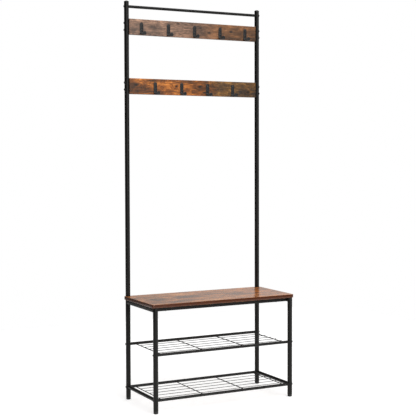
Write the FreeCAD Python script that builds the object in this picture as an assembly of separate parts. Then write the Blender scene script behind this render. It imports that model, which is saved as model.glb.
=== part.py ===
import FreeCAD, Part
import math
import os

# A free-standing hall tree: a shoe bench with a seat board and two wire shelves, and above its
# rear legs two posts that carry a top rod and two boards of coat hooks.
# Millimetres. X runs to the right, Y to the back, Z up; the front faces -Y. The origin is on the
# floor, under the middle of the frame.

V = FreeCAD.Vector

# Frame
overall_height = 1830.0
leg_spacing_x = 686.0  # between the axes of the left and right legs
leg_spacing_y = 304.0  # between the axes of the front and rear legs
frame_tube_dia = 22.0
frame_tube_wall = 1.2

# Seat board
seat_top = 478.5
seat_thickness = 15.0
seat_overhang_x = 17.0  # beyond the leg axes
seat_overhang_y = 8.0
seat_corner_radius = 8.0
board_edge_radius = 0.8

# Rails under the seat
side_rail_width = 16.0
side_rail_height = 20.0
side_rail_set_in = 2.0  # of the rail's outer face, from the outside of the legs
side_rail_wall = 1.2
cross_rail_depth = 14.0
cross_rail_height = 19.0
cross_rail_wall = 1.0
cross_rail_set_back = 24.0  # of the rail's axis, from the leg axes
rail_plug_length = 20.0
seat_screw_margin = 60.0  # from the leg axes to the seat screws

# Shelves
shelf_tube_dia = 13.0
shelf_tube_wall = 1.0
middle_shelf_height = 257.0
bottom_shelf_height = 58.0
low_rail_dia = 16.0
low_rail_wall = 1.0
long_wire_dia = 2.5
long_wire_count = 6
long_wire_margin = 28.5  # from the shelf tubes' axes to the first wire
long_wire_tail = 5.0  # past the last cross wire
cross_wire_dia = 4.0
cross_wire_count = 4
cross_wire_margin = 31.0  # from the leg axes to the first wire

# Top rod and hook boards, hung from the top of the posts
top_rod_drop = 26.5
board_height = 72.5
board_thickness = 15.0
upper_board_drop = 117.5  # to the board's middle
lower_board_drop = 388.0
board_bolt_spacing = 32.0

# Hooks: a bent flat strap
upper_hook_count = 5
hook_margin = 60.0  # from the board's ends to the first hook's middle
hook_width = 17.0
hook_thickness = 2.5
hook_below_middle = 38.1  # lowest point, below the board's middle
hook_plate_top = 21.3  # above the board's middle
hook_reach = 36.0  # between the middles of the plate and the tip
hook_bend_radius = 9.0
hook_slope = 15.0  # degrees down, where the strap leaves the plate
hook_tip_lean = 5.0  # degrees outward
hook_tip_length = 7.4
hook_screw_from_top = 11.0
hook_screw_spacing = 22.0

# Post caps
cap_height = 7.0
cap_rim_height = 3.0
cap_overhang = 0.6
cap_spigot_length = 12.0
cap_wall = 1.5

# Levelling feet
foot_height = 10.0
foot_dia = 21.0
foot_edge_radius = 3.0
foot_stud_dia = 8.0
foot_stud_embed = 5.0
foot_stud_length = 36.0
foot_stop_gap = 0.3  # under the insert, when a foot is screwed right in
foot_insert_flange = 2.0
foot_insert_length = 22.0

# Fasteners
bolt_dia = 6.0
bolt_head_dia = 11.0
bolt_head_rim = 1.0
bolt_head_rise = 2.6
bolt_grip = 18.0  # of the bolt's end inside its nut
end_nut_length = 20.0
board_insert_dia = 10.0
board_insert_length = 20.0
rail_bolt_dia = 5.0
rail_bolt_head_dia = 9.0
rail_bolt_head_rim = 0.6
rail_bolt_head_rise = 1.8
rail_bolt_grip = 14.0
wood_screw_dia = 3.5
wood_screw_head_dia = 7.0
wood_screw_head_rim = 0.5
wood_screw_head_rise = 1.6
wood_screw_bite = 10.0  # in the seat board or a hook board
plug_length = 20.0
post_stud_dia = 6.0
post_stud_end_gap = 2.0  # from the stud's ends to the far ends of its plugs

# Clearances, on the radius
fit_gap = 0.05  # plugs, nuts and threads
bolt_hole_gap = 0.2
running_gap = 0.08  # foot stud in its insert
hole_bottom_gap = 2.0  # past the end of a screw

# Places that follow from the sizes above
leg_x = leg_spacing_x / 2
leg_y = leg_spacing_y / 2
frame_radius = frame_tube_dia / 2
frame_bore_radius = frame_radius - frame_tube_wall
foot_insert_bottom = foot_height + foot_stop_gap
leg_bottom = foot_insert_bottom + foot_insert_flange
seat_bottom = seat_top - seat_thickness
post_top = overall_height - cap_height
top_rod_height = overall_height - top_rod_drop
upper_board_middle = overall_height - upper_board_drop
lower_board_middle = overall_height - lower_board_drop
board_half_length = leg_x - frame_radius
board_front = leg_y - board_thickness / 2
side_rail_outer = leg_x + frame_radius - side_rail_set_in
side_rail_inner = side_rail_outer - side_rail_width
cross_rail_y = leg_y - cross_rail_set_back
cross_rail_middle = seat_bottom - cross_rail_height / 2
hook_pitch = 2 * (board_half_length - hook_margin) / (upper_hook_count - 1)
sides = [("left", -leg_x), ("right", leg_x)]
leg_places = [
    ("front_left", -leg_x, -leg_y),
    ("front_right", leg_x, -leg_y),
    ("rear_left", -leg_x, leg_y),
    ("rear_right", leg_x, leg_y),
]


def rod(start, end, diameter):
    """A round bar between two points."""
    run = end - start
    return Part.makeCylinder(diameter / 2, run.Length, start, run)


def tube(start, end, diameter, wall):
    """A round tube between two points."""
    return rod(start, end, diameter).cut(rod(start, end, diameter - 2 * wall))


def upright(x, y, bottom, top, diameter):
    """An upright round bar."""
    return rod(V(x, y, bottom), V(x, y, top), diameter)


def hole_x(y, z, diameter):
    """A cutter along X, right across the frame."""
    return rod(V(-leg_spacing_x, y, z), V(leg_spacing_x, y, z), diameter)


def box(low, high):
    """A box between two corners."""
    size = high - low
    return Part.makeBox(size.x, size.y, size.z, low)


def group(shapes):
    """Separate solids, kept together as one node."""
    return Part.makeCompound(list(shapes))


def both_sides(shape):
    """A right-hand piece and its mirror image on the left."""
    return [shape, shape.mirror(V(0, 0, 0), V(1, 0, 0))]


def front_and_back(shapes):
    """Rear pieces and their mirror images at the front."""
    return shapes + [shape.mirror(V(0, 0, 0), V(0, 1, 0)) for shape in shapes]


def domed_head(diameter, rim, rise, under):
    """A domed bolt head along +X: its rim starts `under` below the plane x = 0."""
    radius = diameter / 2
    ball = (radius * radius + rise * rise) / (2 * rise)
    centre = rim + rise - ball
    half = math.asin(radius / ball) / 2
    on_arc = V(centre + ball * math.cos(half), ball * math.sin(half), 0)
    base = V(-under, 0, 0)
    corner = V(-under, radius, 0)
    shoulder = V(rim, radius, 0)
    crown = V(rim + rise, 0, 0)
    edges = [
        Part.makeLine(base, corner),
        Part.makeLine(corner, shoulder),
        Part.Arc(shoulder, on_arc, crown).toShape(),
        Part.makeLine(crown, base),
    ]
    return Part.Face(Part.Wire(edges)).revolve(V(0, 0, 0), V(1, 0, 0), 360)


def screw(diameter, length, head_dia, head_rim, head_rise):
    """A domed screw whose head stands on x = 0 and whose shank runs to x = -length."""
    shank = rod(V(-length, 0, 0), V(0, 0, 0), diameter)
    return shank.fuse(domed_head(head_dia, head_rim, head_rise, 0)).removeSplitter()


def frame_bolt(y, z):
    """A bolt through a right-hand tube of the frame, its head shaped to the tube's outside."""
    under = frame_radius - math.sqrt(frame_radius ** 2 - (bolt_head_dia / 2) ** 2)
    head = domed_head(bolt_head_dia, bolt_head_rim, bolt_head_rise, under)
    head.translate(V(leg_x + frame_radius, y, z))
    around = upright(leg_x, y, z - bolt_head_dia, z + bolt_head_dia, frame_tube_dia)
    inner_end = V(leg_x - frame_radius - bolt_grip, y, z)
    shank = rod(inner_end, V(leg_x + frame_radius + bolt_head_rim, y, z), bolt_dia)
    return head.cut(around).fuse(shank).removeSplitter()


def legs():
    """Four leg tubes, with holes for the shelf bolts."""
    holes = [
        hole_x(y, z, bolt_dia + 2 * bolt_hole_gap)
        for y in (-leg_y, leg_y)
        for z in (bottom_shelf_height, middle_shelf_height)
    ]
    shapes = {}
    for name, x, y in leg_places:
        leg = tube(V(x, y, leg_bottom), V(x, y, seat_bottom), frame_tube_dia, frame_tube_wall)
        shapes["leg_" + name] = leg.cut(holes)
    return shapes


def posts():
    """Two upper posts that stand on the seat board, over the rear legs."""
    heights = [top_rod_height]
    for middle in (upper_board_middle, lower_board_middle):
        heights += board_bolt_heights(middle)
    holes = [hole_x(leg_y, z, bolt_dia + 2 * bolt_hole_gap) for z in heights]
    shapes = {}
    for name, x in sides:
        post = tube(V(x, leg_y, seat_top), V(x, leg_y, post_top), frame_tube_dia, frame_tube_wall)
        shapes["post_" + name] = post.cut(holes)
    return shapes


def board_bolt_heights(middle):
    """The heights of the two bolts at each end of a hook board."""
    return [middle - board_bolt_spacing / 2, middle + board_bolt_spacing / 2]


def crossbar(y, z, diameter, wall):
    """A tube between the left and right uprights, its ends shaped to them."""
    bar = tube(V(-leg_x, y, z), V(leg_x, y, z), diameter, wall)
    ends = [upright(x, y, z - diameter, z + diameter, frame_tube_dia) for x in (-leg_x, leg_x)]
    return bar.cut(ends)


def end_nut(y, z):
    """A threaded plug in the right-hand end of a crossbar."""
    outer = shelf_tube_dia - 2 * shelf_tube_wall - 2 * fit_gap
    mouth = leg_x - frame_radius
    plug = rod(V(mouth - end_nut_length, y, z), V(mouth, y, z), outer)
    return plug.cut(rod(V(mouth - end_nut_length, y, z), V(mouth, y, z), bolt_dia + 2 * fit_gap))


def low_side_rail(x):
    """A round tube between two legs, level with the bottom shelf.

    Its ends are shaped to the legs, and leave the shelf tubes and their bolts' heads clear.
    """
    height = bottom_shelf_height
    rail = tube(V(x, -leg_y, height), V(x, leg_y, height), low_rail_dia, low_rail_wall)
    cutters = []
    for y in (-leg_y, leg_y):
        cutters.append(upright(x, y, height - low_rail_dia, height + low_rail_dia, frame_tube_dia))
        cutters.append(hole_x(y, height, shelf_tube_dia))
        cutters.append(hole_x(y, height, bolt_head_dia + 2 * bolt_hole_gap))
    return rail.cut(cutters)


def box_tube_shell(low, high, wall, open_axis):
    """A rectangular tube between two corners, open along one axis."""
    inset = V(wall, wall, wall)
    inset[open_axis] = 0
    return box(low, high).cut(box(low + inset, high - inset))


def seat_side_rails():
    """Rectangular tubes between the legs under the seat board, drilled for the cross rail bolts."""
    bottom = seat_bottom - side_rail_height
    low = V(side_rail_inner, -leg_y, bottom)
    high = V(side_rail_outer, leg_y, seat_bottom)
    rail = box_tube_shell(low, high, side_rail_wall, 1)
    cutters = [upright(leg_x, y, bottom - 1, seat_bottom + 1, frame_tube_dia) for y in (-leg_y, leg_y)]
    bolt_hole = rail_bolt_dia + 2 * bolt_hole_gap
    cutters += [hole_x(y, cross_rail_middle, bolt_hole) for y in (-cross_rail_y, cross_rail_y)]
    right, left = both_sides(rail.cut(cutters))
    return {"seat_side_rail_left": left, "seat_side_rail_right": right}


def seat_screw_places():
    """Where the seat board is screwed to its front and rear rails."""
    x = leg_x - seat_screw_margin
    return [(side * x, y) for side in (-1, 1) for y in (-cross_rail_y, cross_rail_y)]


def seat_cross_rails():
    """Rectangular tubes between the side rails, under the front and the back of the seat."""
    shapes = {}
    bottom = seat_bottom - cross_rail_height
    for name, y in (("front", -cross_rail_y), ("rear", cross_rail_y)):
        low = V(-side_rail_inner, y - cross_rail_depth / 2, bottom)
        high = V(side_rail_inner, y + cross_rail_depth / 2, seat_bottom)
        rail = box_tube_shell(low, high, cross_rail_wall, 0)
        hole = wood_screw_dia + 2 * bolt_hole_gap
        shapes["seat_%s_rail" % name] = rail.cut(
            [upright(x, sy, bottom - 1, seat_bottom + 1, hole) for x, sy in seat_screw_places()]
        )
    return shapes


def rail_plugs():
    """Threaded plugs in the ends of the seat's front and rear rails."""
    inset = cross_rail_wall + fit_gap
    half = V(0, cross_rail_depth / 2 - inset, cross_rail_height / 2 - inset)
    end = V(side_rail_inner, cross_rail_y, cross_rail_middle)
    start = end - V(rail_plug_length, 0, 0)
    plug = box(start - half, end + half)
    plug = plug.cut(rod(start, end, rail_bolt_dia + 2 * fit_gap))
    return front_and_back(both_sides(plug))


def rail_bolts():
    """Bolts through the side rails into the front and rear rails."""
    length = side_rail_width + rail_bolt_grip
    bolt = screw(rail_bolt_dia, length, rail_bolt_head_dia, rail_bolt_head_rim, rail_bolt_head_rise)
    bolt.translate(V(side_rail_outer, cross_rail_y, cross_rail_middle))
    return front_and_back(both_sides(bolt))


def seat_board():
    """The seat: a flat board with rounded corners, bored for the post studs and the screws."""
    half = V(leg_x + seat_overhang_x, leg_y + seat_overhang_y, 0)
    slab = box(V(0, 0, seat_bottom) - half, V(0, 0, seat_top) + half)
    corners = [edge for edge in slab.Edges if edge.BoundBox.ZLength > seat_thickness / 2]
    slab = slab.makeFillet(seat_corner_radius, corners)
    rims = [edge for edge in slab.Edges if edge.BoundBox.ZLength < seat_thickness / 2]
    slab = slab.makeFillet(board_edge_radius, rims)
    stud_hole = post_stud_dia + 2 * bolt_hole_gap
    holes = [upright(x, leg_y, seat_bottom - 1, seat_top + 1, stud_hole) for _, x in sides]
    pilot_top = seat_bottom + wood_screw_bite + hole_bottom_gap
    pilot = wood_screw_dia + 2 * fit_gap
    holes += [upright(x, y, seat_bottom - 1, pilot_top, pilot) for x, y in seat_screw_places()]
    return slab.cut(holes)


def seat_screws():
    """Wood screws from under the front and rear rails into the seat board."""
    length = cross_rail_height + wood_screw_bite
    driver = screw(wood_screw_dia, length, wood_screw_head_dia, wood_screw_head_rim, wood_screw_head_rise)
    driver.rotate(V(0, 0, 0), V(0, 1, 0), 90)
    shapes = []
    for x, y in seat_screw_places():
        one = driver.copy()
        one.translate(V(x, y, seat_bottom - cross_rail_height))
        shapes.append(one)
    return shapes


def hook_board(middle, hooks):
    """A board between the posts, bored at its ends for inserts and in front for hook screws."""
    low = V(-board_half_length, board_front, middle - board_height / 2)
    high = V(board_half_length, board_front + board_thickness, middle + board_height / 2)
    board = box(low, high)
    long_edges = [edge for edge in board.Edges if edge.BoundBox.XLength > board_half_length]
    board = board.makeFillet(board_edge_radius, long_edges)
    cutters = []
    for z in board_bolt_heights(middle):
        inner = V(board_half_length - board_insert_length - hole_bottom_gap, leg_y, z)
        outer = V(board_half_length + 1, leg_y, z)
        cutters += both_sides(rod(inner, outer, board_insert_dia + 2 * fit_gap))
    deep = V(0, wood_screw_bite + hole_bottom_gap, 0)
    for x in hooks:
        for z in hook_screw_heights(middle):
            mouth = V(x, board_front, z)
            cutters.append(rod(mouth - V(0, 1, 0), mouth + deep, wood_screw_dia + 2 * fit_gap))
    return board.cut(cutters)


def board_insert(z):
    """A threaded insert in the right-hand end of a hook board."""
    inner = V(board_half_length - board_insert_length, leg_y, z)
    outer = V(board_half_length, leg_y, z)
    return rod(inner, outer, board_insert_dia).cut(rod(inner, outer, bolt_dia + 2 * fit_gap))


def hook_screw_heights(middle):
    """The heights of a hook's two screws."""
    upper = middle + hook_plate_top - hook_screw_from_top
    return [upper, upper - hook_screw_spacing]


def hook_path():
    """The middle line of the strap: (forward, up) from the plate's middle plane and the lowest point.

    The plate comes down, bends forward, runs out and down at the hook's slope, then bends up
    into the tip. The points are the ends of the straight runs and the middles of both bends.
    """
    slope = math.radians(hook_slope)
    lean = math.radians(hook_tip_lean)
    bend = hook_bend_radius
    turn = math.pi / 2 - slope
    first_end = (bend - bend * math.cos(turn), -bend * math.sin(turn))
    tip_foot_reach = hook_reach - hook_tip_length * math.sin(lean)
    run_out = tip_foot_reach - first_end[0] - bend * math.sin(slope) - bend * math.cos(lean)
    second_start = (first_end[0] + run_out, first_end[1] - run_out * math.tan(slope))
    centre = (second_start[0] + bend * math.sin(slope), second_start[1] + bend * math.cos(slope))

    def on_second(angle):
        return (centre[0] + bend * math.sin(angle), centre[1] - bend * math.cos(angle))

    second_end = on_second(math.pi / 2 - lean)
    second_middle = on_second((math.pi / 2 - lean - slope) / 2)
    first_middle = (bend - bend * math.cos(turn / 2), -bend * math.sin(turn / 2))
    tip = (hook_reach, second_end[1] + hook_tip_length * math.cos(lean))
    lowest = centre[1] - bend
    points = [(0, 0), first_middle, first_end, second_start, second_middle, second_end, tip]
    return [(forward, up - lowest) for forward, up in points]


def hook(x, middle):
    """One hook: a flat strap with two screw holes and rounded ends."""
    plate_y = board_front - hook_thickness / 2
    bottom = middle - hook_below_middle + hook_thickness / 2
    points = [V(x, plate_y - forward, bottom + up) for forward, up in hook_path()]
    top = V(x, plate_y, middle + hook_plate_top)
    path = Part.Wire(
        [
            Part.makeLine(top, points[0]),
            Part.Arc(points[0], points[1], points[2]).toShape(),
            Part.makeLine(points[2], points[3]),
            Part.Arc(points[3], points[4], points[5]).toShape(),
            Part.makeLine(points[5], points[6]),
        ]
    )
    across = V(hook_width / 2, 0, 0)
    through = V(0, hook_thickness / 2, 0)
    near, far = top - through, top + through
    corners = [near - across, near + across, far + across, far - across]
    section = Part.makePolygon(corners + corners[:1])
    strap = path.makePipeShell([section], True, False)
    strap = strap.cut([end_rounding(x, top), end_rounding(x, points[6])])
    reach = V(0, hook_thickness, 0)
    holes = []
    for z in hook_screw_heights(middle):
        centre = V(x, plate_y, z)
        holes.append(rod(centre - reach, centre + reach, wood_screw_dia + 2 * bolt_hole_gap))
    return strap.cut(holes)


def end_rounding(x, end):
    """What is cut away to round one upper end of the strap."""
    radius = hook_width / 2
    deep = V(0, hook_bend_radius, 0)
    middle = V(x, end.y, end.z - radius)
    block = box(middle - deep - V(hook_width, 0, 0), middle + deep + V(hook_width, 0, radius + 1))
    return block.cut(rod(middle - deep, middle + deep, hook_width))


def hook_screws(middle, hooks):
    """The wood screws that hold a row of hooks."""
    length = hook_thickness + wood_screw_bite
    driver = screw(wood_screw_dia, length, wood_screw_head_dia, wood_screw_head_rim, wood_screw_head_rise)
    driver.rotate(V(0, 0, 0), V(0, 0, 1), -90)
    shapes = []
    for x in hooks:
        for z in hook_screw_heights(middle):
            one = driver.copy()
            one.translate(V(x, board_front - hook_thickness, z))
            shapes.append(one)
    return shapes


def spread(half, count):
    """Evenly spaced places from -half to half."""
    return [-half + 2 * half * i / (count - 1) for i in range(count)]


def shelf(prefix, height):
    """A wire shelf: long wires that lie on cross wires, whose ends are shaped to a front and a rear tube."""
    long_z = height + cross_wire_dia / 2 + long_wire_dia / 2
    cross_half = leg_x - cross_wire_margin
    long_half = cross_half + long_wire_tail
    long_wires = [
        rod(V(-long_half, y, long_z), V(long_half, y, long_z), long_wire_dia)
        for y in spread(leg_y - long_wire_margin, long_wire_count)
    ]
    tube_places = [hole_x(y, height, shelf_tube_dia) for y in (-leg_y, leg_y)]
    cross_wires = [
        rod(V(x, -leg_y, height), V(x, leg_y, height), cross_wire_dia).cut(tube_places)
        for x in spread(cross_half, cross_wire_count)
    ]
    return {
        prefix + "_shelf_front_tube": crossbar(-leg_y, height, shelf_tube_dia, shelf_tube_wall),
        prefix + "_shelf_rear_tube": crossbar(leg_y, height, shelf_tube_dia, shelf_tube_wall),
        prefix + "_shelf_long_wires": group(long_wires),
        prefix + "_shelf_cross_wires": group(cross_wires),
    }


def end_plug(x, y, bottom, bore):
    """A plug in the end of a frame tube, threaded through when a stud goes in it."""
    top = bottom + plug_length
    plug = upright(x, y, bottom, top, 2 * (frame_bore_radius - fit_gap))
    return plug.cut(upright(x, y, bottom, top, bore)) if bore else plug


def post_cap(x):
    """A cap on a post's upper end: a low dome on a rim, and a hollow spigot in the tube."""
    rim_radius = frame_radius + cap_overhang
    rise = cap_height - cap_rim_height
    dome = domed_head(2 * rim_radius, cap_rim_height, rise, 0)
    dome.rotate(V(0, 0, 0), V(0, 1, 0), -90)
    dome.translate(V(x, leg_y, post_top))
    spigot_dia = 2 * (frame_bore_radius - fit_gap)
    bottom = V(x, leg_y, post_top - cap_spigot_length)
    spigot = tube(bottom, V(x, leg_y, post_top), spigot_dia, cap_wall)
    return dome.fuse(spigot).removeSplitter()


def foot_insert(x, y):
    """A flanged, threaded insert in the lower end of a leg."""
    flange = upright(x, y, foot_insert_bottom, leg_bottom, frame_tube_dia)
    plug = upright(x, y, leg_bottom, leg_bottom + foot_insert_length, 2 * (frame_bore_radius - fit_gap))
    bore = foot_stud_dia + 2 * running_gap
    return flange.fuse(plug).cut(upright(x, y, 0, leg_bottom + foot_insert_length, bore)).removeSplitter()


def foot(x, y):
    """The pad of a levelling foot, round and rounded over at the floor."""
    pad = upright(x, y, 0, foot_height, foot_dia)
    rims = [edge for edge in pad.Edges if edge.BoundBox.ZMax < foot_height / 2]
    pad = pad.makeFillet(foot_edge_radius, rims)
    return pad.cut(upright(x, y, foot_height - foot_stud_embed, foot_height, foot_stud_dia))


def foot_stud(x, y):
    """The threaded stud of a levelling foot."""
    bottom = foot_height - foot_stud_embed
    return upright(x, y, bottom, bottom + foot_stud_length, foot_stud_dia)


def post_stud(x):
    """A stud through the seat board that joins a post to its rear leg."""
    reach = plug_length - post_stud_end_gap
    return upright(x, leg_y, seat_bottom - reach, seat_top + reach, post_stud_dia)


def frame_bolts():
    """Bolts through the legs and posts into the shelf tubes and the top rod."""
    shapes = both_sides(frame_bolt(leg_y, top_rod_height))
    for z in (bottom_shelf_height, middle_shelf_height):
        shapes += front_and_back(both_sides(frame_bolt(leg_y, z)))
    return shapes


def end_nuts():
    """Threaded plugs in the ends of the shelf tubes and the top rod."""
    shapes = both_sides(end_nut(leg_y, top_rod_height))
    for z in (bottom_shelf_height, middle_shelf_height):
        shapes += front_and_back(both_sides(end_nut(leg_y, z)))
    return shapes


def hook_rows():
    """The two rows of hooks: name, board's middle, and where its hooks are."""
    half = board_half_length - hook_margin
    upper = spread(half, upper_hook_count)
    lower = spread(half - hook_pitch / 2, upper_hook_count - 1)
    return [("upper", upper_board_middle, upper), ("lower", lower_board_middle, lower)]


def hook_board_pieces():
    """Both hook boards with their hooks, screws, inserts and bolts."""
    shapes = {}
    screws = []
    inserts = []
    bolts = []
    for row, middle, places in hook_rows():
        shapes[row + "_hook_board"] = hook_board(middle, places)
        for i, x in enumerate(places, 1):
            shapes["%s_hook_%d" % (row, i)] = hook(x, middle)
        screws += hook_screws(middle, places)
        for z in board_bolt_heights(middle):
            inserts += both_sides(board_insert(z))
            bolts += both_sides(frame_bolt(leg_y, z))
    shapes["hook_screws"] = group(screws)
    shapes["board_inserts"] = group(inserts)
    shapes["board_bolts"] = group(bolts)
    return shapes


def seat_pieces():
    """The seat board, its rails and what fastens them."""
    shapes = {"seat_board": seat_board()}
    shapes.update(seat_side_rails())
    shapes.update(seat_cross_rails())
    shapes["seat_rail_plugs"] = group(rail_plugs())
    shapes["seat_rail_bolts"] = group(rail_bolts())
    shapes["seat_screws"] = group(seat_screws())
    return shapes


def post_joint_pieces():
    """What joins the posts to the rear legs, and what closes the tubes."""
    bore = post_stud_dia + 2 * fit_gap
    leg_plug_bottom = seat_bottom - plug_length
    shapes = {
        "rear_leg_plugs": group(end_plug(x, leg_y, leg_plug_bottom, bore) for _, x in sides),
        "post_plugs": group(end_plug(x, leg_y, seat_top, bore) for _, x in sides),
        "post_studs": group(post_stud(x) for _, x in sides),
        "front_leg_plugs": group(end_plug(x, -leg_y, leg_plug_bottom, 0) for _, x in sides),
    }
    for name, x in sides:
        shapes["post_cap_" + name] = post_cap(x)
    return shapes


def foot_pieces():
    """Four levelling feet and the inserts they screw into."""
    shapes = {"foot_inserts": group(foot_insert(x, y) for _, x, y in leg_places)}
    for name, x, y in leg_places:
        shapes["foot_" + name] = foot(x, y)
        shapes["foot_stud_" + name] = foot_stud(x, y)
    return shapes


def all_pieces():
    """Every node of the assembly, by name."""
    shapes = legs()
    shapes.update(posts())
    shapes["top_rod"] = crossbar(leg_y, top_rod_height, shelf_tube_dia, shelf_tube_wall)
    shapes.update(hook_board_pieces())
    shapes.update(seat_pieces())
    shapes.update(shelf("middle", middle_shelf_height))
    shapes.update(shelf("bottom", bottom_shelf_height))
    right, left = low_side_rail(leg_x), low_side_rail(-leg_x)
    shapes["bottom_side_rail_right"] = right
    shapes["bottom_side_rail_left"] = left
    shapes["frame_bolts"] = group(frame_bolts())
    shapes["end_nuts"] = group(end_nuts())
    shapes.update(post_joint_pieces())
    shapes.update(foot_pieces())
    return shapes


os.makedirs("parts", exist_ok=True)
for node, shape in all_pieces().items():
    shape.exportStep("parts/%s.step" % node)
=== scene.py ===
import math
from collections import namedtuple

import bpy
import numpy as np
from mathutils import Matrix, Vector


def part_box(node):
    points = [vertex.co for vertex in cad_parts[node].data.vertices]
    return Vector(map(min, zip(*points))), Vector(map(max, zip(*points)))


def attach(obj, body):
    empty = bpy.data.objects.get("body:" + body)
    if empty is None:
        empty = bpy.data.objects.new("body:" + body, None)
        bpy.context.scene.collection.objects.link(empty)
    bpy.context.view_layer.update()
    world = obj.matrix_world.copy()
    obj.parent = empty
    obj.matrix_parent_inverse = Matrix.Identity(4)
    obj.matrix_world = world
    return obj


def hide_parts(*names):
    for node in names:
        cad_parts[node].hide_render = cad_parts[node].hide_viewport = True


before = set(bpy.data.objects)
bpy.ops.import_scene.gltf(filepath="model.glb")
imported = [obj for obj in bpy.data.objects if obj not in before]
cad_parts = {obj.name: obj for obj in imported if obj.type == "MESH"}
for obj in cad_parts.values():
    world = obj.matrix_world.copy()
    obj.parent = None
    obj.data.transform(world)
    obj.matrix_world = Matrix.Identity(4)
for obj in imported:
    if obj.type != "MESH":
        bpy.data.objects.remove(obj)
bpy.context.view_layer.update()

bl_info = {
    "name": "Hall Tree With Hooks",
    "version": (1, 0, 0),
    "blender": (4, 5, 0),
    "location": "3D View > Sidebar > Hall Tree",
    "description": "Finished pieces of a hall tree with a shoe bench, made round its CAD frame",
    "category": "Add Mesh",
}

PLACES = ("front_left", "front_right", "rear_left", "rear_right")
SHELVES = ("middle_shelf", "bottom_shelf")
HOOKS = {
    "upper": ["upper_hook_%d" % i for i in range(1, 6)],
    "lower": ["lower_hook_%d" % i for i in range(1, 5)],
}
LONG_WIRES, CROSS_WIRES = 6, 4  # on each shelf
SCREW_RIM, SCREW_RISE = 0.0005, 0.0016  # heights of a wood screw's rim and of the dome on it

# A closed surface: its points, its faces, and one number a point for each named mark on it.
Shell = namedtuple("Shell", "points quads tris marks")


# ---------------------------------------------------------------- places in the frame


def extent(node):
    """A CAD node's lowest and highest corners."""
    low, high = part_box(node)
    return np.array(low), np.array(high)


def upright(node):
    """An upright tube's x, y, radius, bottom and top."""
    low, high = extent(node)
    middle = (low + high) / 2
    return middle[0], middle[1], (high[0] - low[0]) / 2, low[2], high[2]


def crossbar(node):
    """A left to right tube's middle and radius."""
    low, high = extent(node)
    return (low + high) / 2, (high[2] - low[2]) / 2


def hook_board_middles():
    """The heights of the two hook boards' middles."""
    return [sum(extent(row + "_hook_board"))[2] / 2 for row in HOOKS]


LEG_X, LEG_Y, TUBE_RADIUS, LEG_BOTTOM, _ = upright("leg_rear_right")
BORE_RADIUS = TUBE_RADIUS - 0.00125  # what fits inside a leg or post, whose wall is 1.2 mm thick


# ---------------------------------------------------------------- surfaces


def outward(points, quads, tris, marks):
    """A shell whose faces all point outwards: they are turned round if its signed volume is negative."""
    fans = np.concatenate([quads[:, [0, 1, 2]], quads[:, [0, 2, 3]], tris])
    a, b, c = ((points - points.mean(axis=0))[fans[:, i]] for i in range(3))
    if np.einsum("ij,ij->", a, np.cross(b, c)) < 0:
        quads, tris = quads[:, ::-1], tris[:, ::-1]
    return Shell(points, quads, tris, marks)


def stacked(rings, **marks):
    """A closed shell over a stack of rings. Each end is closed to the mean of its last ring."""
    count, around, _ = rings.shape
    points = np.concatenate([rings[:1].mean(axis=1), rings.reshape(-1, 3), rings[-1:].mean(axis=1)])
    k = np.arange(around)
    n = (k + 1) % around
    base = 1 + around * np.arange(count - 1)[:, None]
    quads = np.stack([base + k, base + n, base + around + n, base + around + k], axis=-1).reshape(-1, 4)
    last = 1 + around * (count - 1)
    first_fan = np.stack([np.zeros_like(k), 1 + n, 1 + k], axis=-1)
    last_fan = np.stack([np.full_like(k, last + around), last + k, last + n], axis=-1)
    marks = {
        mark: np.concatenate([v[0].mean(keepdims=True), v.ravel(), v[-1].mean(keepdims=True)])
        for mark, v in marks.items()
    }
    return outward(points, quads, np.concatenate([first_fan, last_fan]), marks)


def looped(rings, **marks):
    """A closed shell over rings that themselves go round in a loop, as on a torus."""
    count, around, _ = rings.shape
    k = np.arange(around)
    n = (k + 1) % around
    here = around * np.arange(count)[:, None]
    after = around * ((np.arange(count)[:, None] + 1) % count)
    quads = np.stack([here + k, here + n, after + n, after + k], axis=-1).reshape(-1, 4)
    marks = {mark: v.ravel() for mark, v in marks.items()}
    return outward(rings.reshape(-1, 3), quads, np.empty((0, 3), int), marks)


def facing(direction):
    """Three unit rows, the last one along direction, that turn a shape made along Z to face it."""
    ahead = np.asarray(direction, float)
    ahead = ahead / np.linalg.norm(ahead)
    helper = np.array([0.0, 0.0, 1.0]) if abs(ahead[2]) < 0.9 else np.array([0.0, 1.0, 0.0])
    side = np.cross(helper, ahead)
    side = side / np.linalg.norm(side)
    return np.stack([side, np.cross(ahead, side), ahead])


def moved(shell, origin, direction=(0, 0, 1)):
    """A shell made round the origin and along Z, put at origin and turned to face direction."""
    return shell._replace(points=shell.points @ facing(direction) + np.asarray(origin))


def angles(around):
    """Equal steps round a circle."""
    return 2 * np.pi * np.arange(around) / around


def circle(radius, around):
    """Points round a circle: (radius cos a, radius sin a)."""
    return radius * np.cos(angles(around)), radius * np.sin(angles(around))


def spread(half, count):
    """Evenly spaced places from -half to half."""
    return np.linspace(-half, half, count)


def resampled(values, count):
    """Values round a loop, read off at count equal steps of it."""
    steps = np.linspace(0, len(values), count, endpoint=False)
    return np.interp(steps, np.arange(len(values) + 1), np.append(values, values[0]))


def turned(profile, around):
    """A profile turned round Z: (r cos a, r sin a, z) for each (r, z), where r may be an array over a.

    A third value in the profile is the wear there.
    """
    a = angles(around)
    radius = np.stack([np.broadcast_to(row[0], (around,)) for row in profile])
    height = np.array([row[1] for row in profile])[:, None] * np.ones(around)
    wear = np.array([row[2] if len(row) > 2 else 0.0 for row in profile])[:, None] * np.ones(around)
    return stacked(np.stack([radius * np.cos(a), radius * np.sin(a), height], axis=-1), wear=wear)


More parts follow.
